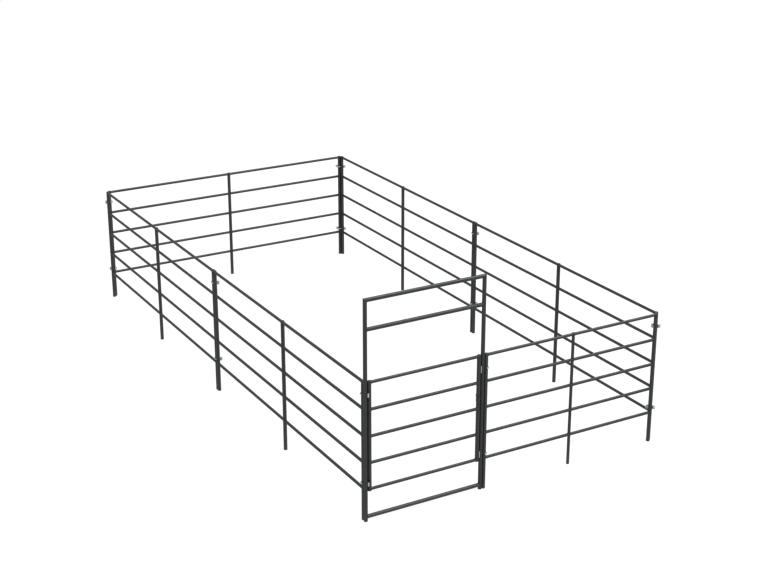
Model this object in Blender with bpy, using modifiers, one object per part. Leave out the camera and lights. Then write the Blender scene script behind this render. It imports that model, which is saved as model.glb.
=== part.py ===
"""Portable livestock stall: a 12 ft by 24 ft pen of six five-rail tube panels
and a walk-through gate in a tall frame, held together by drop-pin connectors.

Metres, +Z up.  X runs along the 12 ft ends, Y along the 24 ft sides, and the
gate end is at -Y.  The ground is z = 0 and the origin is under the middle.
"""
import math

import bpy
import bmesh
from mathutils import Matrix, Vector

# ---------------------------------------------------------------- dimensions
IN = 0.0254
PITCH = 144 * IN              # one long panel, post plane to post plane
HX = PITCH / 2                # the long sides stand at x = -HX and +HX
HY = PITCH                    # the ends stand at y = -HY and +HY
GATE_W = 54 * IN              # gate frame, post centre to post centre
SHIFT_X = -0.01257            # these two centre the outer box, connectors
SHIFT_Y = -0.00575            # and hinges included

POST_R = 0.02065              # 1 5/8 in tube: end posts, long mid legs, frame
RAIL_R = 0.015875             # 1 1/4 in tube: rails and the short mid leg
RAIL_Z = [1.5215 - 0.2923 * i for i in range(5)]
POST_TOP = RAIL_Z[0] + RAIL_R + 0.0006
LEAF_BOTTOM = RAIL_Z[4] - RAIL_R - 0.0006

FRAME_TOP_Z = 2.3883          # centre of the header bar
FRAME_BAR_Z = 2.0833          # centre of the second bar
FRAME_SILL_Z = 0.0488         # centre of the sill bar

POST_PAIR = 0.0425            # two joined posts, centre to centre
CORNER = POST_PAIR / math.sqrt(2)
TOUCH = 0.0003                # gap kept between pieces that touch

# connector set, one at each of two heights on every joint
SET_Z = {"upper": 1.383, "lower": 0.407}
CLEVIS_R, CLEVIS_H, SLOT_H = 0.017, 0.032, 0.013
CLEVIS_REACH = POST_R + CLEVIS_R + TOUCH      # clevis post to pin axis
EYE_REACH = 0.040                              # eye post to pin axis
EYE_T, EYE_IN, EYE_OUT, EAR_R = 0.012, 0.0215, 0.0325, 0.013
NECK_W, BAND_UP, BAND_T = 0.013, 0.01175, 0.0085
PIN_R, PIN_HOLE = 0.0070, 0.0075
PIN_HEAD_R, PIN_HEAD_H, PIN_BELOW = 0.0120, 0.006, 0.010

# gate leaf and its hardware
LEAF_GAP = 0.045              # frame post centre to stile centre
HINGE_X, HINGE_Y = 0.0225, -0.0210            # from the left frame post
HINGE_Z = {"upper": 1.396, "lower": 0.420}
BARREL_R, BARREL_H, BARREL_BORE = 0.0098, 0.043, 0.0056
HINGE_PIN_R, LUG_R, LUG_T = 0.0050, 0.0090, 0.005
STOP_X, STOP_Y, STOP_R, STOP_H = -0.0234, -0.0145, 0.0050, 0.077
STOP_Z = {"upper": 1.376, "lower": 0.410}
LATCH_Z = 1.083
LATCH_BOLT_R, LATCH_HOLE, LATCH_NUT_R = 0.0060, 0.0065, 0.0100
ARM_T, ARM_L, ARM_R1, ARM_R2 = 0.006, 0.068, 0.0135, 0.0100

SEG_POST, SEG_RAIL, SEG_SMALL = 12, 12, 12

# ---------------------------------------------------------------- clean scene
for ob in list(bpy.data.objects):
    bpy.data.objects.remove(ob, do_unlink=True)
for col in list(bpy.data.collections):
    bpy.data.collections.remove(col)

STALL = bpy.data.collections.new("livestock_stall")
TOOLS = bpy.data.collections.new("cutters_and_tools")
bpy.context.scene.collection.children.link(STALL)
bpy.context.scene.collection.children.link(TOOLS)

COLOURS = {
    "paint": ((0.045, 0.048, 0.050, 1.0), 0.48, 0.35),
    "zinc": ((0.42, 0.43, 0.44, 1.0), 0.42, 0.85),
}


def material(name, kind):
    colour, rough, metal = COLOURS[kind]
    mat = bpy.data.materials.new(name + "_" + kind)
    mat.use_nodes = True
    bsdf = mat.node_tree.nodes["Principled BSDF"]
    bsdf.inputs["Base Color"].default_value = colour
    bsdf.inputs["Roughness"].default_value = rough
    bsdf.inputs["Metallic"].default_value = metal
    mat.diffuse_color = colour
    return mat


# ---------------------------------------------------------------- primitives
def new_object(name, bm, tool=False):
    bmesh.ops.recalc_face_normals(bm, faces=bm.faces[:])
    me = bpy.data.meshes.new(name)
    bm.to_mesh(me)
    bm.free()
    ob = bpy.data.objects.new(name, me)
    (TOOLS if tool else STALL).objects.link(ob)
    if tool:
        ob.hide_render = True
        ob.display_type = "WIRE"
    return ob


def cylinder(name, a, b, r, seg=SEG_SMALL, turn=0.0, origin=None, tool=False):
    """Round bar from a to b; the object's origin is at a unless given."""
    a, b = Vector(a), Vector(b)
    origin = a if origin is None else Vector(origin)
    bm = bmesh.new()
    bmesh.ops.create_cone(bm, cap_ends=True, cap_tris=False, segments=seg,
                          radius1=r, radius2=r, depth=(b - a).length)
    axis = (b - a).normalized()
    spin = Matrix.Rotation(turn, 4, "Z")
    aim = axis.to_track_quat("Z", "Y").to_matrix().to_4x4()
    bm.transform(Matrix.Translation((a + b) / 2 - origin) @ aim @ spin)
    ob = new_object(name, bm, tool)
    ob.location = origin
    return ob


def box(name, centre, size, turn=0.0, tool=True):
    """Box turned about the vertical through its centre."""
    bm = bmesh.new()
    bmesh.ops.create_cube(bm, size=1.0)
    bm.transform(Matrix.Diagonal((*size, 1.0)))
    ob = new_object(name, bm, tool)
    ob.location = Vector(centre)
    ob.rotation_euler = (0, 0, turn)
    return ob


def boolean(ob, tool, how):
    mod = ob.modifiers.new(how.title(), "BOOLEAN")
    mod.operation = how
    mod.solver = "EXACT"
    mod.object = tool


def finish(ob, kind):
    ob.data.materials.append(material(ob.name, kind))
    ob.data.shade_smooth()
    ob.data.set_sharp_from_angle(angle=math.radians(35))
    return ob


def at(x, y, z=0.0):
    """A point given from the pen's middle, moved with the whole pen."""
    return Vector((x + SHIFT_X, y + SHIFT_Y, z))


# ---------------------------------------------------------------- panels
def panel(name, start, end, middle, middle_r):
    """Two end posts, one middle leg and five rails welded into one frame."""
    (x0, y0), (x1, y1), (xm, ym) = start, end, middle
    frame = cylinder(name, at(x0, y0), at(x0, y0, POST_TOP), POST_R, SEG_POST)
    others = [
        cylinder(name + "_post", at(x1, y1), at(x1, y1, POST_TOP), POST_R,
                 SEG_POST, tool=True),
        cylinder(name + "_leg", at(xm, ym), at(xm, ym, POST_TOP), middle_r,
                 SEG_POST, tool=True),
    ]
    for i, z in enumerate(RAIL_Z):
        others.append(cylinder(f"{name}_rail_{i + 1}", at(x0, y0, z),
                               at(x1, y1, z), RAIL_R, SEG_RAIL,
                               turn=math.radians(15), tool=True))
    for tool in others:
        boolean(frame, tool, "UNION")
    return finish(frame, "paint")


XE = -HX + GATE_W
panel("left_front_panel", (-HX, -HY + POST_PAIR), (-HX, -POST_PAIR / 2),
      (-HX, -HY / 2), POST_R)
panel("left_rear_panel", (-HX, POST_PAIR / 2), (-HX, HY - CORNER),
      (-HX, HY / 2), POST_R)
panel("back_panel", (-HX + CORNER, HY), (HX - CORNER, HY), (0, HY), POST_R)
panel("right_rear_panel", (HX, HY - CORNER), (HX, POST_PAIR / 2),
      (HX, HY / 2), POST_R)
panel("right_front_panel", (HX, -POST_PAIR / 2), (HX, -HY + CORNER),
      (HX, -HY / 2), POST_R)
panel("front_panel", (XE + POST_PAIR, -HY), (HX - CORNER, -HY),
      ((XE + HX) / 2, -HY), RAIL_R)


# ---------------------------------------------------------------- gate frame
def mitred_tube(name, points, r, seg):
    """One tube along straight runs, its corners cut and joined on the mitre."""
    pts = [Vector(p) for p in points]
    origin = pts[0]
    bm = bmesh.new()
    for i, (a, b) in enumerate(zip(pts, pts[1:])):
        axis = (b - a).normalized()
        made = bmesh.ops.create_cone(bm, cap_ends=False, segments=seg,
                                     radius1=r, radius2=r, depth=(b - a).length)
        aim = axis.to_track_quat("Z", "Y").to_matrix().to_4x4()
        bmesh.ops.transform(bm, matrix=Matrix.Translation((a + b) / 2) @ aim,
                            verts=made["verts"])
        for v in made["verts"]:
            near_b = (v.co - a).dot(axis) > (b - a).length / 2
            j = i + 1 if near_b else i
            if j in (0, len(pts) - 1):
                continue
            into = (pts[j] - pts[j - 1]).normalized()
            out = (pts[j + 1] - pts[j]).normalized()
            plane = (into + out).normalized()
            v.co -= axis * ((v.co - pts[j]).dot(plane) / axis.dot(plane))
    bmesh.ops.remove_doubles(bm, verts=bm.verts[:], dist=0.00005)
    bmesh.ops.holes_fill(bm, edges=[e for e in bm.edges if e.is_boundary],
                         sides=seg)
    bmesh.ops.translate(bm, verts=bm.verts[:], vec=-origin)
    ob = new_object(name, bm)
    ob.location = origin
    return ob


gate_frame = mitred_tube("gate_frame", [
    at(-HX, -HY), at(-HX, -HY, FRAME_TOP_Z), at(XE, -HY, FRAME_TOP_Z),
    at(XE, -HY)], POST_R, SEG_POST)
for bar_name, bar_z in (("second_bar", FRAME_BAR_Z), ("sill", FRAME_SILL_Z)):
    bar = cylinder("gate_frame_" + bar_name, at(-HX, -HY, bar_z),
                   at(XE, -HY, bar_z), POST_R * 0.985, SEG_POST,
                   turn=math.radians(15), tool=True)
    boolean(gate_frame, bar, "UNION")
finish(gate_frame, "paint")

# ---------------------------------------------------------------- gate leaf
XL, XR = -HX + LEAF_GAP, XE - LEAF_GAP
hinge_axis = at(-HX + HINGE_X, -HY + HINGE_Y)
leaf = cylinder("gate_leaf", at(XL, -HY, LEAF_BOTTOM), at(XL, -HY, POST_TOP),
                POST_R, SEG_POST, origin=hinge_axis)
stile = cylinder("gate_leaf_latch_stile", at(XR, -HY, LEAF_BOTTOM),
                 at(XR, -HY, POST_TOP), POST_R, SEG_POST, tool=True)
boolean(leaf, stile, "UNION")
for i, z in enumerate(RAIL_Z):
    rail = cylinder(f"gate_leaf_rail_{i + 1}", at(XL, -HY, z), at(XR, -HY, z),
                    RAIL_R, SEG_RAIL, turn=math.radians(15), tool=True)
    boolean(leaf, rail, "UNION")
hole = cylinder("gate_leaf_latch_hole", at(XR, -HY - 0.05, LATCH_Z),
                at(XR, -HY + 0.05, LATCH_Z), LATCH_HOLE, SEG_SMALL, tool=True)
boolean(leaf, hole, "DIFFERENCE")
finish(leaf, "paint")

# gate hinges: a barrel on the leaf turns on a pin held by two lugs on the post
post_left = at(-HX, -HY)
to_post = (post_left - hinge_axis).normalized()
turn_post = math.atan2(to_post.y, to_post.x)
for level, z in HINGE_Z.items():
    up = Vector((0, 0, 1))
    mid = hinge_axis + up * z
    barrel = cylinder(f"gate_hinge_barrel_{level}", mid - up * BARREL_H / 2,
                      mid + up * BARREL_H / 2, BARREL_R, 16, origin=mid)
    bore = cylinder(barrel.name + "_bore", mid - up * BARREL_H,
                    mid + up * BARREL_H, BARREL_BORE, SEG_SMALL, tool=True)
    boolean(barrel, bore, "DIFFERENCE")
    finish(barrel, "zinc")

    reach = BARREL_H / 2 + 0.0005 + LUG_T
    pin = cylinder(f"gate_hinge_pin_{level}", mid - up * (reach + 0.002),
                   mid + up * (reach + 0.002), HINGE_PIN_R, 10, origin=mid)
    clear = cylinder(pin.name + "_post_clear", at(-HX, -HY, z - 0.1),
                     at(-HX, -HY, z + 0.1), POST_R + 0.0004, SEG_POST, tool=True)
    for s in (-1, 1):
        low = mid + up * s * (BARREL_H / 2 + 0.0005 + LUG_T / 2)
        lug = cylinder(f"{pin.name}_lug_{s + 1}", low - up * LUG_T / 2,
                       low + up * LUG_T / 2, LUG_R, SEG_SMALL, tool=True)
        web = box(f"{pin.name}_web_{s + 1}", low + to_post * 0.008,
                  (0.016, 0.0165, LUG_T), turn_post)
        boolean(lug, web, "UNION")
        boolean(lug, clear, "DIFFERENCE")
        boolean(pin, lug, "UNION")
    finish(pin, "paint")

# stop bars on the latch stile, wider than the gap, meet the post from outside
for level, z in STOP_Z.items():
    bar = cylinder(f"gate_stop_{level}",
                   at(XE + STOP_X, -HY + STOP_Y, z - STOP_H / 2),
                   at(XE + STOP_X, -HY + STOP_Y, z + STOP_H / 2), STOP_R,
                   SEG_SMALL, origin=at(XE + STOP_X, -HY + STOP_Y, z))
    mod = bar.modifiers.new("Edges", "BEVEL")
    mod.width, mod.segments = 0.0008, 1
    mod.limit_method = "ANGLE"
    mod.angle_limit = math.radians(50)
    finish(bar, "zinc")

# turn latch: an arm on the back of the latch stile swings behind the post
latch = at(XR, -HY, LATCH_Z)
back = Vector((0, 1, 0))
head_y, nut_y = -POST_R - TOUCH, POST_R + 0.0006 + ARM_T + 0.0006
bolt = cylinder("latch_bolt", latch + back * (head_y - 0.001),
                latch + back * (nut_y + 0.011), LATCH_BOLT_R, SEG_SMALL,
                origin=latch)
head = cylinder("latch_bolt_head", latch + back * (head_y - 0.007),
                latch + back * head_y, LATCH_NUT_R, 6, tool=True)
boolean(bolt, head, "UNION")
finish(bolt, "paint")

nut = cylinder("latch_nut", latch + back * nut_y, latch + back * (nut_y + 0.008),
               LATCH_NUT_R, 6, origin=latch)
bore = cylinder("latch_nut_bore", latch, latch + back * 0.06,
                LATCH_BOLT_R + 0.0004, SEG_SMALL, tool=True)
boolean(nut, bore, "DIFFERENCE")
finish(nut, "zinc")

arm_y = POST_R + 0.0006
arm = cylinder("latch_arm", latch + back * arm_y,
               latch + back * (arm_y + ARM_T), ARM_R1, 16, origin=latch)
tip = latch - Vector((0, 0, ARM_L))
end = cylinder("latch_arm_tip", tip + back * arm_y, tip + back * (arm_y + ARM_T),
               ARM_R2, 12, tool=True)
blade = box("latch_arm_blade", latch + back * (arm_y + ARM_T / 2)
            - Vector((0, 0, ARM_L / 2)), (ARM_R2 * 1.98, ARM_T, ARM_L))
bore = cylinder("latch_arm_bore", latch, latch + back * 0.06,
                LATCH_HOLE, SEG_SMALL, tool=True)
boolean(arm, blade, "UNION")
boolean(arm, end, "UNION")
boolean(arm, bore, "DIFFERENCE")
finish(arm, "paint")


# ---------------------------------------------------------------- connectors
UP = Vector((0, 0, 1))


def heading(degrees):
    return Vector((math.cos(math.radians(degrees)),
                   math.sin(math.radians(degrees)), 0))


def bearing(start, end):
    return math.degrees(math.atan2(end[1] - start[1], end[0] - start[0]))


def arc_band(name, centre, z, start, sweep, origin, thick=EYE_T):
    """Flat band round a post, swept from one bearing through an angle."""
    steps = max(4, round(abs(sweep) / 20))
    c = at(centre[0], centre[1], z)
    out = heading(start)
    bm = bmesh.new()
    corners = [c + out * r + UP * h for r, h in
               ((EYE_IN, -thick / 2), (EYE_OUT, -thick / 2),
                (EYE_OUT, thick / 2), (EYE_IN, thick / 2))]
    face = bm.faces.new([bm.verts.new(p) for p in corners])
    bmesh.ops.spin(bm, geom=[face] + face.edges[:] + face.verts[:], cent=c,
                   axis=UP, angle=math.radians(sweep), steps=steps,
                   use_duplicate=False)
    bmesh.ops.translate(bm, verts=bm.verts[:], vec=-origin)
    ob = new_object(name, bm)
    ob.location = origin
    return ob


def stub_sleeve(ob, centre, z, degrees, reach, up=0.0):
    """Short plain sleeve carried by a band or clevis, out on one bearing."""
    mid = at(centre[0], centre[1], z + up) + heading(degrees) * reach
    tool = cylinder(ob.name + "_stub", mid - UP * CLEVIS_H / 2,
                    mid + UP * CLEVIS_H / 2, CLEVIS_R, 16, tool=True)
    bore = cylinder(ob.name + "_stub_bore", mid - UP * 0.04, mid + UP * 0.04,
                    PIN_HOLE, SEG_SMALL, tool=True)
    return tool, bore


def connector(joint, clevis_post, eye_post, pin, clevis_band=None,
              clevis_stub=None, eye_sweep=None, eye_stub=None, neck_w=NECK_W,
              web_w=0.022, slot_depth=0.0135):
    """A slotted clevis on one post, an eye plate on the next, a drop pin.

    Posts and pin are given in plan.  A sweep is the angle of the flat band
    that runs round a post from the pin's side.  A stub is the bearing, reach
    and rise of a plain sleeve carried on that band.  slot_depth runs from the
    pin toward the clevis post.
    """
    p1, p2, p = Vector(clevis_post), Vector(eye_post), Vector(pin)
    to_p1 = heading(bearing(p, p1))
    turn1 = math.radians(bearing(p, p1))
    for level, z in SET_Z.items():
        name = f"{joint}_{level}"
        mid = at(p.x, p.y, z)

        clevis = cylinder(f"clevis_{name}", mid - UP * CLEVIS_H / 2,
                          mid + UP * CLEVIS_H / 2, CLEVIS_R, 16, origin=mid)
        extra = (p1 - p).length - CLEVIS_REACH
        web = box(clevis.name + "_web", mid + to_p1 * (0.0135 + extra / 2),
                  (0.0145 + extra, web_w, CLEVIS_H - 0.002), turn1)
        slot = box(clevis.name + "_slot", mid - to_p1 * (0.030 - slot_depth),
                   (0.060, 0.060, SLOT_H), turn1)
        bore = cylinder(clevis.name + "_bore", mid - UP * 0.04, mid + UP * 0.04,
                        PIN_HOLE, SEG_SMALL, tool=True)
        boolean(clevis, web, "UNION")
        boolean(clevis, slot, "DIFFERENCE")
        bores = [bore]
        if clevis_band:
            band = arc_band(clevis.name + "_band", p1, z + BAND_UP, bearing(p1, p),
                            clevis_band, mid, BAND_T)
            TOOLS.objects.link(band)
            STALL.objects.unlink(band)
            band.hide_render, band.display_type = True, "WIRE"
            boolean(clevis, band, "UNION")
        if clevis_stub:
            stub, hole = stub_sleeve(clevis, p1, z, *clevis_stub)
            boolean(clevis, stub, "UNION")
            bores.append(hole)
        bores.append(cylinder(clevis.name + "_post", at(p1.x, p1.y, z - 0.05),
                              at(p1.x, p1.y, z + 0.05), POST_R + TOUCH,
                              SEG_POST, tool=True))
        for tool in bores:
            boolean(clevis, tool, "DIFFERENCE")
        finish(clevis, "zinc")

        ear = cylinder(f"eye_plate_{name}_ear", mid - UP * EYE_T / 2,
                       mid + UP * EYE_T / 2, EAR_R, 14, tool=True)
        reach = (p - p2).length
        away = heading(bearing(p2, p))
        neck = box(f"eye_plate_{name}_neck",
                   at(p2.x, p2.y, z) + away * (reach + EYE_IN + 0.003) / 2,
                   (reach - EYE_IN - 0.003, neck_w, EYE_T * 0.98),
                   math.radians(bearing(p2, p)))
        if eye_sweep:
            eye = arc_band(f"eye_plate_{name}", p2, z,
                           bearing(p2, p) - math.copysign(12, eye_sweep),
                           eye_sweep, mid)
            boolean(eye, neck, "UNION")
            boolean(eye, ear, "UNION")
        else:
            eye = cylinder(f"eye_plate_{name}", mid - UP * EYE_T / 2,
                           mid + UP * EYE_T / 2, EAR_R, 14, origin=mid)
            wide = box(f"eye_plate_{name}_foot",
                       at(p2.x, p2.y, z) + away * (reach + POST_R - 0.004) / 2,
                       (reach - POST_R + 0.004, neck_w, EYE_T * 0.98),
                       math.radians(bearing(p2, p)))
            post = cylinder(eye.name + "_post", at(p2.x, p2.y, z - 0.05),
                            at(p2.x, p2.y, z + 0.05), POST_R + TOUCH,
                            SEG_POST, tool=True)
            boolean(eye, wide, "UNION")
            boolean(eye, post, "DIFFERENCE")
        bores = [cylinder(eye.name + "_bore", mid - UP * 0.02, mid + UP * 0.02,
                          PIN_HOLE, SEG_SMALL, tool=True)]
        if eye_stub:
            stub, hole = stub_sleeve(eye, p2, z, *eye_stub)
            boolean(eye, stub, "UNION")
            bores.append(hole)
        for tool in bores:
            boolean(eye, tool, "DIFFERENCE")
        finish(eye, "zinc")

        drop_pin(f"drop_pin_{name}", mid)


def drop_pin(name, mid):
    """Turned pin: tapered point, plain shank, round head with a broken edge."""
    top = CLEVIS_H / 2 + TOUCH
    low = -(CLEVIS_H / 2 + PIN_BELOW)
    profile = [
        (0.0, top + PIN_HEAD_H), (PIN_HEAD_R - 0.0015, top + PIN_HEAD_H),
        (PIN_HEAD_R, top + PIN_HEAD_H - 0.0015), (PIN_HEAD_R, top),
        (PIN_R, top), (PIN_R, low + 0.005), (PIN_R * 0.55, low), (0.0, low),
    ]
    bm = bmesh.new()
    verts = [bm.verts.new((x, 0.0, z)) for x, z in profile]
    for a, b in zip(verts, verts[1:]):
        bm.edges.new((a, b))
    me = bpy.data.meshes.new(name)
    bm.to_mesh(me)
    bm.free()
    ob = bpy.data.objects.new(name, me)
    STALL.objects.link(ob)
    ob.location = mid
    mod = ob.modifiers.new("Turn", "SCREW")
    mod.steps = mod.render_steps = 10
    mod.use_merge_vertices = True
    mod.merge_threshold = 0.00001
    mod.use_smooth_shade = True
    ob.data.materials.append(material(name, "zinc"))
    return ob


def pin_between(clevis_post, eye_post, side, further=0.0):
    """Pin axis in plan, beside the line from the eye post to the clevis post:
    side is +1 to the left of that line and -1 to the right of it.  further
    stands the pin off by that much more."""
    p1, p2 = Vector(clevis_post), Vector(eye_post)
    along = (p1 - p2).normalized()
    across = Vector((-along.y, along.x)) * side
    gap = (p1 - p2).length
    t = (EYE_REACH ** 2 - CLEVIS_REACH ** 2 + gap ** 2) / (2 * gap)
    return p2 + along * t + across * (math.sqrt(EYE_REACH ** 2 - t ** 2) + further)


half = POST_PAIR / 2
NEAR = CLEVIS_R + POST_R + TOUCH

for joint, x in (("left_middle", -HX), ("right_middle", HX)):
    connector(joint, (x, -half), (x, half), (x + CLEVIS_REACH + 0.0027, -half),
              eye_sweep=296, neck_w=0.0105, web_w=0.016, slot_depth=0.0160)

a, b = (-HX, HY - CORNER), (-HX + CORNER, HY)
connector("left_back", a, b, pin_between(a, b, -1, 0.008), eye_sweep=-250,
          eye_stub=(-75, NEAR, 0.007), neck_w=0.0105, web_w=0.016,
          slot_depth=0.0165)
a, b = (HX, HY - CORNER), (HX - CORNER, HY)
connector("right_back", a, b, pin_between(a, b, 1), clevis_band=-121,
          clevis_stub=(-45, NEAR), eye_sweep=285, eye_stub=(135, NEAR))
a, b = (HX - CORNER, -HY), (HX, -HY + CORNER)
connector("right_front", a, b, pin_between(a, b, -1), eye_sweep=-258,
          eye_stub=(-73.5, 0.0444))
a, b = (-HX, -HY + POST_PAIR), (-HX, -HY)
connector("left_front", a, b, (-HX + CLEVIS_REACH, -HY + POST_PAIR),
          clevis_band=215, neck_w=0.009, web_w=0.015, slot_depth=0.0168)
a, b = (XE, -HY), (XE + POST_PAIR, -HY)
connector("gate_post", a, b, pin_between(a, b, -1), eye_sweep=-240)
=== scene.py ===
import bpy
import bmesh
import math
import random
from mathutils import Matrix, Vector


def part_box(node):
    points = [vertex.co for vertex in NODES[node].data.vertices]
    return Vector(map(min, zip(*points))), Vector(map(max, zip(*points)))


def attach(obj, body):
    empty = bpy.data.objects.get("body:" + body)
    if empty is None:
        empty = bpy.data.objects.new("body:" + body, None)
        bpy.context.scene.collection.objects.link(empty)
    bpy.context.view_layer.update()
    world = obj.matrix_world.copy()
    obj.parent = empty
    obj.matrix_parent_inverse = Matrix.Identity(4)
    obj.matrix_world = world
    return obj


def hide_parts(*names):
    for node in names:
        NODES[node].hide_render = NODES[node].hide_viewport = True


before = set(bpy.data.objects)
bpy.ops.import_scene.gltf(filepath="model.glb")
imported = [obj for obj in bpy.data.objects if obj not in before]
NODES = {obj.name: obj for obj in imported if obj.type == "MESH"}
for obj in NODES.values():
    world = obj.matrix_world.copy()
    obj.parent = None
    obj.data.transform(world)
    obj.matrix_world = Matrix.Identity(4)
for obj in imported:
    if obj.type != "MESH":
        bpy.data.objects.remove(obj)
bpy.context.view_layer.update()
UP = Vector((0, 0, 1))

# ------------------------------------------------------------- dimensions (m)
IN = 0.0254
HX, HY = 72 * IN, 144 * IN
GATE_W = 54 * IN
XE = -HX + GATE_W
SHIFT = Vector((-0.01257, -0.00575, 0))
POST_R, RAIL_R = 0.02065, 0.015875
RAIL_Z = [1.5215 - 0.2923 * i for i in range(5)]
POST_TOP = RAIL_Z[0] + RAIL_R + 0.0006
LEAF_BOTTOM = RAIL_Z[4] - RAIL_R - 0.0006
FRAME_TOP_Z, FRAME_BAR_Z, FRAME_SILL_Z = 2.3883, 2.0833, 0.0488
POST_PAIR = 0.0425
CORNER = POST_PAIR / math.sqrt(2)
LEAF_GAP = 0.045
SET_Z = {"upper": 1.383, "lower": 0.407}
CLEVIS_R, CLEVIS_H = 0.017, 0.032
CLEVIS_REACH, EYE_REACH = POST_R + CLEVIS_R + 0.0003, 0.040
EYE_T, EYE_IN, BAND_UP, BAND_T = 0.012, 0.0215, 0.01175, 0.0085
HINGE_X, HINGE_Y = 0.0225, -0.0210
HINGE_Z = {"upper": 1.396, "lower": 0.420}
BARREL_R, BARREL_H, LUG_T = 0.0098, 0.043, 0.005
STOP_X, STOP_Y, STOP_R, STOP_H = -0.0234, -0.0145, 0.0050, 0.077
STOP_Z = {"upper": 1.376, "lower": 0.410}


def at(x, y, z=0.0):
    return Vector((x, y, z)) + SHIFT


def heading(degrees):
    a = math.radians(degrees)
    return Vector((math.cos(a), math.sin(a), 0))


def bearing(start, end):
    return math.degrees(math.atan2(end[1] - start[1], end[0] - start[0]))


# ------------------------------------------------------------- materials
def nodes_of(name):
    mat = bpy.data.materials.new(name)
    mat.use_nodes = True
    nt = mat.node_tree
    return mat, nt, nt.nodes["Principled BSDF"]


def noise(nt, vec, scale, detail=4.0, rough=0.55, dim="3D"):
    n = nt.nodes.new("ShaderNodeTexNoise")
    n.noise_dimensions = dim
    n.inputs["Scale"].default_value = scale
    n.inputs["Detail"].default_value = detail
    n.inputs["Roughness"].default_value = rough
    nt.links.new(vec, n.inputs["Vector"])
    return n.outputs["Fac"]


def ramp(nt, fac, stops):
    r = nt.nodes.new("ShaderNodeValToRGB")
    els = r.color_ramp.elements
    while len(els) < len(stops):
        els.new(0.5)
    for e, (pos, col) in zip(els, stops):
        e.position = pos
        e.color = (*col, 1.0) if len(col) == 3 else col
    nt.links.new(fac, r.inputs["Fac"])
    return r.outputs["Color"]


def mix(nt, fac, a, b, blend="MIX"):
    m = nt.nodes.new("ShaderNodeMix")
    m.data_type = "RGBA"
    m.blend_type = blend
    for sock, val in ((m.inputs["Factor"], fac), (m.inputs["A"], a), (m.inputs["B"], b)):
        if hasattr(val, "is_linked"):
            nt.links.new(val, sock)
        elif isinstance(val, (int, float)):
            sock.default_value = val
        else:
            sock.default_value = (*val, 1.0)
    return m.outputs["Result"]


def value_map(nt, fac, lo_in, hi_in, lo, hi):
    m = nt.nodes.new("ShaderNodeMapRange")
    m.inputs["From Min"].default_value = lo_in
    m.inputs["From Max"].default_value = hi_in
    m.inputs["To Min"].default_value = lo
    m.inputs["To Max"].default_value = hi
    nt.links.new(fac, m.inputs["Value"])
    return m.outputs["Result"]


def bumped(nt, bsdf, layers):
    """Chains bump layers of (height socket, strength, distance)."""
    last = None
    for h, strength, dist in layers:
        b = nt.nodes.new("ShaderNodeBump")
        b.inputs["Strength"].default_value = strength
        b.inputs["Distance"].default_value = dist
        nt.links.new(h, b.inputs["Height"])
        if last:
            nt.links.new(last, b.inputs["Normal"])
        last = b.outputs["Normal"]
    nt.links.new(last, bsdf.inputs["Normal"])


def charcoal(name, seed, dusty=True):
    """Satin charcoal enamel on steel tube: faint mottling, fine orange peel,
    light rubbing, a little dust near the ground."""
    mat, nt, bsdf = nodes_of(name)
    co = nt.nodes.new("ShaderNodeTexCoord").outputs["Object"]
    shift = nt.nodes.new("ShaderNodeMapping")
    shift.inputs["Location"].default_value = (seed * 3.1, seed * 1.7, seed * 0.9)
    nt.links.new(co, shift.inputs["Vector"])
    vec = shift.outputs["Vector"]
    broad = noise(nt, vec, 2.3, 3)
    cloud = noise(nt, vec, 28, 5, 0.6)
    fine = noise(nt, vec, 420, 3)
    base = ramp(nt, broad, [(0.30, (0.0342, 0.0368, 0.0381)),
                            (0.70, (0.0403, 0.0432, 0.0446))])
    base = mix(nt, 0.35, base, ramp(nt, cloud, [(0.35, (0.0304, 0.0328, 0.0339)),
                                                (0.65, (0.0502, 0.0533, 0.0545))]))
    rub = noise(nt, vec, 95, 8, 0.7)
    rubbed = ramp(nt, rub, [(0.64, (0, 0, 0)), (0.72, (1, 1, 1))])
    base = mix(nt, value_map(nt, rubbed, 0, 1, 0, 0.35), base, (0.085, 0.088, 0.090))
    if dusty:
        sep = nt.nodes.new("ShaderNodeSeparateXYZ")
        nt.links.new(co, sep.inputs["Vector"])
        low = value_map(nt, sep.outputs["Z"], 0.0, 0.16, 1.0, 0.0)
        patch = nt.nodes.new("ShaderNodeMath")
        patch.operation = "MULTIPLY"
        nt.links.new(low, patch.inputs[0])
        nt.links.new(value_map(nt, cloud, 0.35, 0.7, 0.0, 0.6), patch.inputs[1])
        base = mix(nt, patch.outputs[0], base, (0.10, 0.094, 0.085))
    nt.links.new(base, bsdf.inputs["Base Color"])
    nt.links.new(value_map(nt, cloud, 0.3, 0.7, 0.44, 0.58), bsdf.inputs["Roughness"])
    bsdf.inputs["Metallic"].default_value = 0.0
    bsdf.inputs["Specular IOR Level"].default_value = 0.85
    bumped(nt, bsdf, [(cloud, 0.25, 0.0006), (fine, 0.35, 0.00012)])
    return mat


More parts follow.
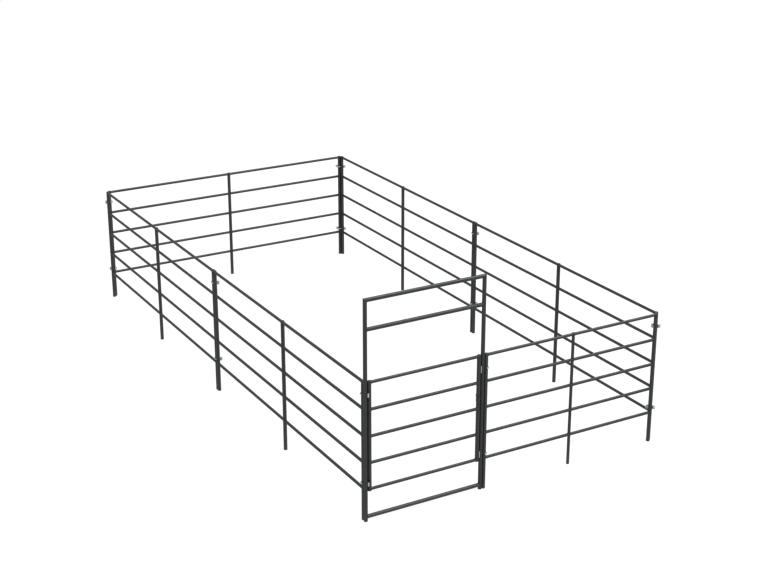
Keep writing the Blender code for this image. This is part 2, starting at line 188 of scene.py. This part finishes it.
def zinc(name, seed, light=1.0):
    """Dull zinc plate: blurred crystals, dark handling marks, soft sheen."""
    mat, nt, bsdf = nodes_of(name)
    co = nt.nodes.new("ShaderNodeTexCoord").outputs["Object"]
    shift = nt.nodes.new("ShaderNodeMapping")
    shift.inputs["Location"].default_value = (seed * 2.3, seed, seed * 1.3)
    nt.links.new(co, shift.inputs["Vector"])
    vec = shift.outputs["Vector"]
    cell = nt.nodes.new("ShaderNodeTexVoronoi")
    cell.inputs["Scale"].default_value = 150
    cell.inputs["Randomness"].default_value = 1.0
    nt.links.new(vec, cell.inputs["Vector"])
    grey = nt.nodes.new("ShaderNodeRGBToBW")
    nt.links.new(cell.outputs["Color"], grey.inputs["Color"])
    base = ramp(nt, grey.outputs["Val"], [(0.1, (0.470 * light, 0.483 * light, 0.492 * light)),
                                          (0.9, (0.600 * light, 0.614 * light, 0.622 * light))])
    cloud = noise(nt, vec, 60, 5, 0.6)
    base = mix(nt, value_map(nt, cloud, 0.45, 0.75, 0.0, 0.45), base,
               (0.385 * light, 0.388 * light, 0.385 * light))
    nt.links.new(base, bsdf.inputs["Base Color"])
    nt.links.new(value_map(nt, cloud, 0.3, 0.7, 0.34, 0.55), bsdf.inputs["Roughness"])
    bsdf.inputs["Metallic"].default_value = 0.7
    fine = noise(nt, vec, 900, 2)
    bumped(nt, bsdf, [(cloud, 0.3, 0.0004), (fine, 0.3, 0.0001)])
    return mat


PAINT = [charcoal(f"charcoal_enamel_{i + 1}", i * 7.3 + 1) for i in range(4)]
PAINT_LEAF = charcoal("charcoal_enamel_leaf", 41.0, dusty=False)
PAINT_SMALL = charcoal("charcoal_enamel_hardware", 57.0, dusty=False)
ZINC = [zinc(f"zinc_plate_{i + 1}", i * 5.1 + 2) for i in range(3)]
ZINC_PIN = zinc("zinc_pin_plate", 33.0, 1.08)


# ------------------------------------------------------------- mesh helpers
class Build:
    """Collects tubes and weld beads in one mesh, smooth on its round faces."""

    def __init__(self, name, seed):
        self.name, self.bm = name, bmesh.new()
        self.rnd = random.Random(seed)

    def ring(self, centre, u, v, r, seg, squash=None):
        out = []
        for i in range(seg):
            a = 2 * math.pi * i / seg
            p = u * (r * math.cos(a)) + v * (r * math.sin(a))
            if squash:
                p = squash(p)
            out.append(self.bm.verts.new(centre + p))
        return out

    def skin(self, rings, cap0=False, cap1=False, closed=False):
        pairs = list(zip(rings, rings[1:]))
        if closed:
            pairs.append((rings[-1], rings[0]))
        for a, b in pairs:
            n = len(a)
            for i in range(n):
                f = self.bm.faces.new((a[i], a[(i + 1) % n], b[(i + 1) % n], b[i]))
                f.smooth = True
        if cap0:
            self.bm.faces.new(list(reversed(rings[0])))
        if cap1:
            self.bm.faces.new(rings[-1])

    def tube(self, a, b, r, seg=28, cap=True, bevel=0.0012, dome=0.0):
        """Round tube with a broken edge and a slightly crowned end plug."""
        a, b = Vector(a), Vector(b)
        d = (b - a).normalized()
        u = d.orthogonal().normalized()
        if abs(d.z) < 0.5:
            u = UP.copy()
        v = d.cross(u).normalized()
        rings = []
        if cap:
            k = bevel
            rings.append(self.ring(a, u, v, r - k * 1.9, seg))
            rings.append(self.ring(a, u, v, r - k, seg))
            rings.append(self.ring(a + d * k * 0.35, u, v, r - k * 0.3, seg))
            rings.append(self.ring(a + d * k, u, v, r, seg))
            rings.append(self.ring(b - d * k, u, v, r, seg))
            rings.append(self.ring(b - d * k * 0.35, u, v, r - k * 0.3, seg))
            rings.append(self.ring(b, u, v, r - k, seg))
            rings.append(self.ring(b + d * dome * 0.4, u, v, r - k * 1.9, seg))
            if dome:
                rings.append(self.ring(b + d * dome, u, v, r * 0.45, seg))
        else:
            rings = [self.ring(a, u, v, r, seg), self.ring(b, u, v, r, seg)]
        self.skin(rings, True, True)

    def bead(self, pts, normals, r, closed=False, seg=7, ripple=0.16, pitch=0.004):
        """Weld bead: a small rounded ridge along a path, with even ripples."""
        n = len(pts)
        rings, run = [], 0.0
        phase = self.rnd.uniform(0, 6.28)
        for i in range(n):
            p0 = pts[(i - 1) % n] if closed or i > 0 else pts[0]
            p1 = pts[(i + 1) % n] if closed or i < n - 1 else pts[-1]
            t = (p1 - p0).normalized()
            nn = (normals[i] - t * normals[i].dot(t)).normalized()
            bi = t.cross(nn)
            if i:
                run += (pts[i] - pts[i - 1]).length
            k = 1 + ripple * math.sin(run / pitch * 2 * math.pi + phase) \
                + self.rnd.uniform(-0.07, 0.07)
            if not closed and i in (0, n - 1):
                k *= 0.45
            rings.append(self.ring(pts[i], nn, bi, r * k, seg))
        if closed:
            self.skin(rings, closed=True)
        else:
            self.skin(rings, True, True)

    def saddle(self, post, z, u, post_r, rail_r, r=0.0030, steps=44):
        """Weld bead where a rail that leaves along u meets a round post."""
        side = u.cross(UP)
        pts, nor = [], []
        for i in range(steps):
            a = 2 * math.pi * i / steps
            c, s = rail_r * math.cos(a), rail_r * math.sin(a)
            out = math.sqrt(max(post_r ** 2 - c * c, 0.0))
            base = u * out + side * c
            pts.append(post + base + UP * (z + s))
            n_rail = side * math.cos(a) + UP * math.sin(a)
            nor.append((n_rail + base.normalized()).normalized())
        self.bead(pts, nor, r, closed=True)

    def arc(self, centre, z, r, start, sweep, bead_r):
        """Bead round a post at one height, through part of a turn."""
        n = max(6, int(abs(math.radians(sweep)) * r / 0.0011))
        pts, nor = [], []
        for i in range(n + 1):
            d = heading(start + sweep * i / n)
            pts.append(centre + d * r + UP * z)
            nor.append(d)
        self.bead(pts, nor, bead_r)

    def upright(self, point, out, z0, z1, bead_r):
        """Bead straight up in a crease, facing out."""
        n = max(5, int((z1 - z0) / 0.0011))
        pts = [point + UP * (z0 + (z1 - z0) * i / n) for i in range(n + 1)]
        self.bead(pts, [out] * (n + 1), bead_r)

    def crease(self, centre, post_r, to, other_r, z0, z1, bead_r, sides=(1, -1)):
        """Upright beads where a round bar lies against a round post."""
        off = math.sqrt(1.2 * bead_r * 2 * post_r * other_r / (post_r + other_r))
        d = heading(to)
        for s in sides:
            side = heading(to + 90 * s)
            x = math.sqrt(post_r ** 2 - off ** 2) + 0.6 * bead_r
            self.upright(centre + d * x + side * off, side, z0, z1, bead_r)

    def done(self, mat, body, *replaced, slot=None):
        bmesh.ops.recalc_face_normals(self.bm, faces=self.bm.faces[:])
        me = bpy.data.meshes.new(self.name)
        self.bm.to_mesh(me)
        self.bm.free()
        me.set_sharp_from_angle(angle=math.radians(40))
        me.materials.append(mat)
        ob = bpy.data.objects.new(self.name, me)
        bpy.context.scene.collection.objects.link(ob)
        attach(ob, body)
        if replaced:
            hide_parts(*replaced)
        return ob


# ------------------------------------------------------------- panels
def panel(node, start, end, middle, middle_r, mat, seed):
    b = Build("tube_" + node, seed)
    a0, a1, am = at(*start), at(*end), at(*middle)
    u = (a1 - a0).normalized()
    for p, r in ((a0, POST_R), (a1, POST_R), (am, middle_r)):
        b.tube(p, p + UP * POST_TOP, r, 36, dome=0.0006)
    for z in RAIL_Z:
        b.tube(a0 + UP * z, am + UP * z, RAIL_R, 30, cap=False)
        b.tube(am + UP * z, a1 + UP * z, RAIL_R, 30, cap=False)
        for p, d, r in ((a0, u, POST_R), (a1, -u, POST_R),
                        (am, u, middle_r), (am, -u, middle_r)):
            b.saddle(p, z, d, r, min(RAIL_R, r - 0.0001))
    b.done(mat, "pen", node, slot="panel_paint")


panel("left_front_panel", (-HX, -HY + POST_PAIR), (-HX, -POST_PAIR / 2),
      (-HX, -HY / 2), POST_R, PAINT[0], 11)
panel("left_rear_panel", (-HX, POST_PAIR / 2), (-HX, HY - CORNER),
      (-HX, HY / 2), POST_R, PAINT[1], 12)
panel("back_panel", (-HX + CORNER, HY), (HX - CORNER, HY), (0, HY), POST_R,
      PAINT[2], 13)
panel("right_rear_panel", (HX, HY - CORNER), (HX, POST_PAIR / 2),
      (HX, HY / 2), POST_R, PAINT[0], 14)
panel("right_front_panel", (HX, -POST_PAIR / 2), (HX, -HY + CORNER),
      (HX, -HY / 2), POST_R, PAINT[1], 15)
panel("front_panel", (XE + POST_PAIR, -HY), (HX - CORNER, -HY),
      ((XE + HX) / 2, -HY), RAIL_R, PAINT[2], 16)

# ------------------------------------------------------------- gate frame
b = Build("tube_gate_frame", 21)
left, right = at(-HX, -HY), at(XE, -HY)
SEG = 36
X, Y = Vector((1, 0, 0)), Vector((0, 1, 0))


def frame_ring(centre, side, top):
    """Ring on a top corner's mitre plane, or level at a foot."""
    out = []
    for i in range(SEG):
        a = 2 * math.pi * i / SEG
        dx, dy = POST_R * math.cos(a), POST_R * math.sin(a)
        out.append(b.bm.verts.new(centre + X * (side * dx) + Y * dy
                                  - (UP * dx if top else Vector())))
    return out


def foot_rings(centre, side):
    out = []
    for k, h in ((0.0022, 0.0), (0.0012, 0.0), (0.0004, 0.0004), (0.0, 0.0012)):
        ring = []
        for i in range(SEG):
            a = 2 * math.pi * i / SEG
            r = POST_R - k
            ring.append(b.bm.verts.new(centre + X * (side * r * math.cos(a))
                                       + Y * (r * math.sin(a)) + UP * h))
        out.append(ring)
    return out


rings = foot_rings(left, 1) + [frame_ring(left + UP * FRAME_TOP_Z, 1, True),
                               frame_ring(right + UP * FRAME_TOP_Z, -1, True)] \
    + list(reversed(foot_rings(right, -1)))
b.skin(rings, True, True)
for z in (FRAME_BAR_Z, FRAME_SILL_Z):
    b.tube(left + UP * z, right + UP * z, POST_R - 0.0003, 36, cap=False)
    b.saddle(left, z, X, POST_R, POST_R - 0.0006, 0.0032)
    b.saddle(right, z, -X, POST_R, POST_R - 0.0006, 0.0032)
for centre, side in ((left, 1), (right, -1)):
    pts, nor = [], []
    for i in range(48):
        a = 2 * math.pi * i / 48
        dx, dy = POST_R * math.cos(a), POST_R * math.sin(a)
        pts.append(centre + UP * (FRAME_TOP_Z - dx) + X * (side * dx) + Y * dy)
        nor.append((X * side * math.cos(a) + Y * math.sin(a) * 1.4
                    - UP * math.cos(a)).normalized())
    b.bead(pts, nor, 0.0022, closed=True)
b.done(PAINT[3], "pen", "gate_frame", slot="gate_paint")

# ------------------------------------------------------------- gate leaf
b = Build("tube_gate_leaf", 31)
xl, xr = at(-HX + LEAF_GAP, -HY), at(XE - LEAF_GAP, -HY)
for p in (xl, xr):
    b.tube(p + UP * LEAF_BOTTOM, p + UP * POST_TOP, POST_R, 36, dome=0.0006)
for z in RAIL_Z:
    b.tube(xl + UP * z, xr + UP * z, RAIL_R, 30, cap=False)
    b.saddle(xl, z, X, POST_R, RAIL_R)
    b.saddle(xr, z, -X, POST_R, RAIL_R)
b.done(PAINT_LEAF, "gate", "gate_leaf", slot="gate_paint")


# ------------------------------------------------------------- connector welds
def pin_between(p1, p2, side, further=0.0):
    p1, p2 = Vector(p1), Vector(p2)
    along = (p1 - p2).normalized()
    across = Vector((-along.y, along.x)) * side
    gap = (p1 - p2).length
    t = (EYE_REACH ** 2 - CLEVIS_REACH ** 2 + gap ** 2) / (2 * gap)
    return p2 + along * t + across * (math.sqrt(EYE_REACH ** 2 - t ** 2) + further)


def joint_welds(name, p1, p2, pin, web_w, band=None, eye=None, stubs=(), mats=ZINC[0],
                seed=1):
    """Beads that hold one joint's clevis and eye plate to their posts."""
    b = Build("weld_" + name, seed)
    c1, c2 = at(*p1), at(*p2)
    to1, to2 = bearing(p1, pin), bearing(p2, pin)
    half = math.degrees((web_w / 2 + 0.0008) / POST_R)
    for z in SET_Z.values():
        h = CLEVIS_H / 2 - 0.0015
        for s in (-1, 1):
            d = heading(to1 + s * half)
            b.upright(c1 + d * (POST_R + 0.0003), d, z - h, z + h, 0.0019)
        if not band:
            b.arc(c1, z + h, POST_R + 0.0004, to1 - half, 2 * half, 0.0017)
        b.arc(c1, z - h, POST_R + 0.0004, to1 - half, 2 * half, 0.0017)
        for sweep, centre, start, zz, thick in ((band, c1, to1, z + BAND_UP, BAND_T),
                                                (eye, c2, to2, z, EYE_T)):
            if not sweep:
                continue
            if centre is c2:
                start -= math.copysign(12, sweep)
            for k in (0.02, 0.42, 0.80):
                for e in (-1, 1):
                    b.arc(centre, zz + e * thick / 2, EYE_IN - 0.0004,
                          start + sweep * k, sweep * 0.17, 0.0015)
        if not eye:
            for e in (-1, 1):
                b.arc(c2, z + e * EYE_T / 2, POST_R + 0.0004, to2 - 15, 30, 0.0016)
        for post, to, up in stubs:
            b.crease(at(*post), POST_R, to, CLEVIS_R, z + up - h + 0.002,
                     z + up + h - 0.002, 0.0018)
    b.done(mats, "pen", slot="zinc_connector")


half_pair = POST_PAIR / 2
for k, (name, x) in enumerate((("left_middle", -HX), ("right_middle", HX))):
    joint_welds(name, (x, -half_pair), (x, half_pair),
                (x + CLEVIS_REACH + 0.0027, -half_pair), 0.016, eye=296, seed=51 + k)
p1, p2 = (-HX, HY - CORNER), (-HX + CORNER, HY)
joint_welds("left_back", p1, p2, pin_between(p1, p2, -1, 0.008), 0.016, eye=-250,
            stubs=[(p2, -75, 0.007)], seed=53)
p1, p2 = (HX, HY - CORNER), (HX - CORNER, HY)
joint_welds("right_back", p1, p2, pin_between(p1, p2, 1), 0.022, band=-121, eye=285,
            stubs=[(p1, -45, 0.0), (p2, 135, 0.0)], seed=54)
p1, p2 = (HX - CORNER, -HY), (HX, -HY + CORNER)
joint_welds("right_front", p1, p2, pin_between(p1, p2, -1), 0.022, eye=-258, seed=55)
p1, p2 = (-HX, -HY + POST_PAIR), (-HX, -HY)
joint_welds("left_front", p1, p2, (-HX + CLEVIS_REACH, -HY + POST_PAIR), 0.015,
            band=215, seed=56)
p1, p2 = (XE, -HY), (XE + POST_PAIR, -HY)
joint_welds("gate_post", p1, p2, pin_between(p1, p2, -1), 0.022, eye=-240, seed=57)

# ------------------------------------------------------------- gate welds
hinge_xy = (-HX + HINGE_X, -HY + HINGE_Y)
to_axis = bearing((-HX, -HY), hinge_xy)
b = Build("weld_hinge_lugs", 61)
for z in HINGE_Z.values():
    for s in (-1, 1):
        lug_z = z + s * (BARREL_H / 2 + 0.0005 + LUG_T / 2)
        for e in (-1, 1):
            if e == s:
                b.arc(at(-HX, -HY), lug_z + e * LUG_T / 2, POST_R + 0.0004,
                      to_axis - 24, 48, 0.0015)
b.done(PAINT_SMALL, "pen", slot="hardware_paint")

b = Build("weld_gate_hardware", 62)
stile_l, stile_r = (-HX + LEAF_GAP, -HY), (XE - LEAF_GAP, -HY)
for z in HINGE_Z.values():
    b.crease(at(*stile_l), POST_R, bearing(stile_l, hinge_xy), BARREL_R,
             z - BARREL_H / 2 + 0.003, z + BARREL_H / 2 - 0.003, 0.0016)
stop_xy = (XE + STOP_X, -HY + STOP_Y)
for z in STOP_Z.values():
    for z0, z1 in ((-0.034, -0.018), (-0.007, 0.007), (0.018, 0.034)):
        b.crease(at(*stile_r), POST_R, bearing(stile_r, stop_xy), STOP_R, z + z0,
                 z + z1, 0.0013, sides=(-1,))
b.done(PAINT_LEAF, "gate", slot="hardware_paint")


# ------------------------------------------------------------- turned pieces
def turned(name, node, body, profile, mat, slot, seg=40):
    """A turned piece on an upright axis, which stands for its node."""
    lo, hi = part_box(node)
    axis = Vector(((lo[0] + hi[0]) / 2, (lo[1] + hi[1]) / 2, 0))
    b = Build(name, 7)
    x, y = Vector((1, 0, 0)), Vector((0, 1, 0))
    b.skin([b.ring(axis + UP * z, x, y, r, seg) for r, z in profile], True, True)
    return b.done(mat, body, node, slot=slot)


PIN_R, HEAD_R, HEAD_H = 0.0068, 0.0120, 0.006
for node in sorted(NODES):
    if not node.startswith("drop_pin_"):
        continue
    joint, level = node[9:].rsplit("_", 1)
    z = SET_Z[level]
    top, low = z + CLEVIS_H / 2 + 0.0003, z - CLEVIS_H / 2 - 0.010
    prof = [(PIN_R * 0.30, low), (PIN_R * 0.50, low + 0.0003), (PIN_R * 0.60, low + 0.0010),
            (PIN_R * 0.93, low + 0.0042), (PIN_R, low + 0.0056), (PIN_R, top - 0.0001),
            (HEAD_R - 0.0010, top), (HEAD_R - 0.0003, top + 0.0003), (HEAD_R, top + 0.0010),
            (HEAD_R, top + HEAD_H - 0.0024)]
    for k in range(1, 9):
        a = math.radians(90 * k / 8)
        prof.append((HEAD_R - 0.0024 * (1 - math.cos(a)), top + HEAD_H - 0.0024
                     + 0.0024 * math.sin(a)))
    prof.append((HEAD_R * 0.55, top + HEAD_H))
    turned("turned_" + node, node, "pin_" + node[9:], prof, ZINC_PIN, "zinc_pin")


# ------------------------------------------------------------- small parts
def finish_node(node, mat, bevel=0.0006, angle=38, segments=2):
    """A CAD node that stays: broken edges, smooth round faces, its material."""
    ob = NODES[node]
    ob.data.materials.clear()
    ob.data.materials.append(mat)
    weld = ob.modifiers.new("Joined corners", "WELD")
    weld.merge_threshold = 0.00001
    mod = ob.modifiers.new("Broken edges", "BEVEL")
    mod.width, mod.segments = bevel, segments
    mod.limit_method, mod.angle_limit = "ANGLE", math.radians(angle)
    mod.harden_normals = True
    mod.use_clamp_overlap = True
    for poly in ob.data.polygons:
        poly.use_smooth = True


for i, name in enumerate(sorted(NODES)):
    if name.startswith(("clevis", "eye_plate")):
        finish_node(name, ZINC[i % 3])
    elif name.startswith(("gate_hinge_barrel", "gate_stop", "latch_nut")):
        finish_node(name, ZINC[i % 3], 0.0004)
    elif name.startswith(("gate_hinge_pin", "latch_arm", "latch_bolt")):
        finish_node(name, PAINT_SMALL, 0.0004)

# ------------------------------------------------------------- floor
floor_me = bpy.data.meshes.new("floor")
bm = bmesh.new()
bmesh.ops.create_grid(bm, x_segments=1, y_segments=1, size=120)
bm.to_mesh(floor_me)
bm.free()
floor = bpy.data.objects.new("floor", floor_me)
bpy.context.scene.collection.objects.link(floor)
floor.location.z = -0.0005
mat, nt, bsdf = nodes_of("pale_floor")
co = nt.nodes.new("ShaderNodeTexCoord").outputs["Object"]
n = noise(nt, co, 3.0, 3)
nt.links.new(ramp(nt, n, [(0.3, (0.075, 0.075, 0.075)), (0.7, (0.085, 0.085, 0.085))]),
             bsdf.inputs["Base Color"])
bsdf.inputs["Roughness"].default_value = 0.9
bsdf.inputs["Specular IOR Level"].default_value = 0.0
bsdf.inputs["Emission Color"].default_value = (1, 1, 1, 1)
bsdf.inputs["Emission Strength"].default_value = 0.92
floor.data.materials.append(mat)

# ------------------------------------------------------------- light
world = bpy.data.worlds.new("studio")
bpy.context.scene.world = world
world.use_nodes = True
world.node_tree.nodes["Background"].inputs["Color"].default_value = (1, 1, 1, 1)
world.node_tree.nodes["Background"].inputs["Strength"].default_value = 1.0


def area(name, loc, aim, size, power):
    light = bpy.data.lights.new(name, "AREA")
    light.shape = "RECTANGLE"
    light.size, light.size_y = size
    light.energy = power
    ob = bpy.data.objects.new(name, light)
    ob.location = loc
    ob.rotation_mode = "QUATERNION"
    ob.rotation_quaternion = (Vector(aim) - Vector(loc)).to_track_quat("-Z", "Y")
    bpy.context.scene.collection.objects.link(ob)


area("overhead", (14, -10, 27.5), (0, -1, 0), (34, 10), 9600)

# ------------------------------------------------------------- camera
cam_data = bpy.data.cameras.new("camera")
cam = bpy.data.objects.new("camera", cam_data)
bpy.context.scene.collection.objects.link(cam)
bpy.context.scene.camera = cam
F_PX = 1481.256
cam_data.sensor_width = 36.0
cam_data.lens = F_PX * 36.0 / 768
cam_data.shift_x = (384 - 383.5) / 768
cam_data.shift_y = (257.82 - 288) / 768
cam_data.clip_end = 500
K = 1.5215
cam.location = Vector((-4.20564654 * K, -7.59178411 * K, 4.93361370 * K)) \
    + at(-HX, -HY)
w = Vector((1.86268267, -0.49527916, 0.349387476))
world_to_view = Matrix.Rotation(w.length, 3, w.normalized())
flip = Matrix(((1, 0, 0), (0, -1, 0), (0, 0, -1)))
cam.rotation_mode = "QUATERNION"
cam.rotation_quaternion = (flip @ world_to_view).transposed().to_quaternion()

bpy.context.scene.view_settings.view_transform = "Standard"
bpy.context.scene.view_settings.gamma = 0.7
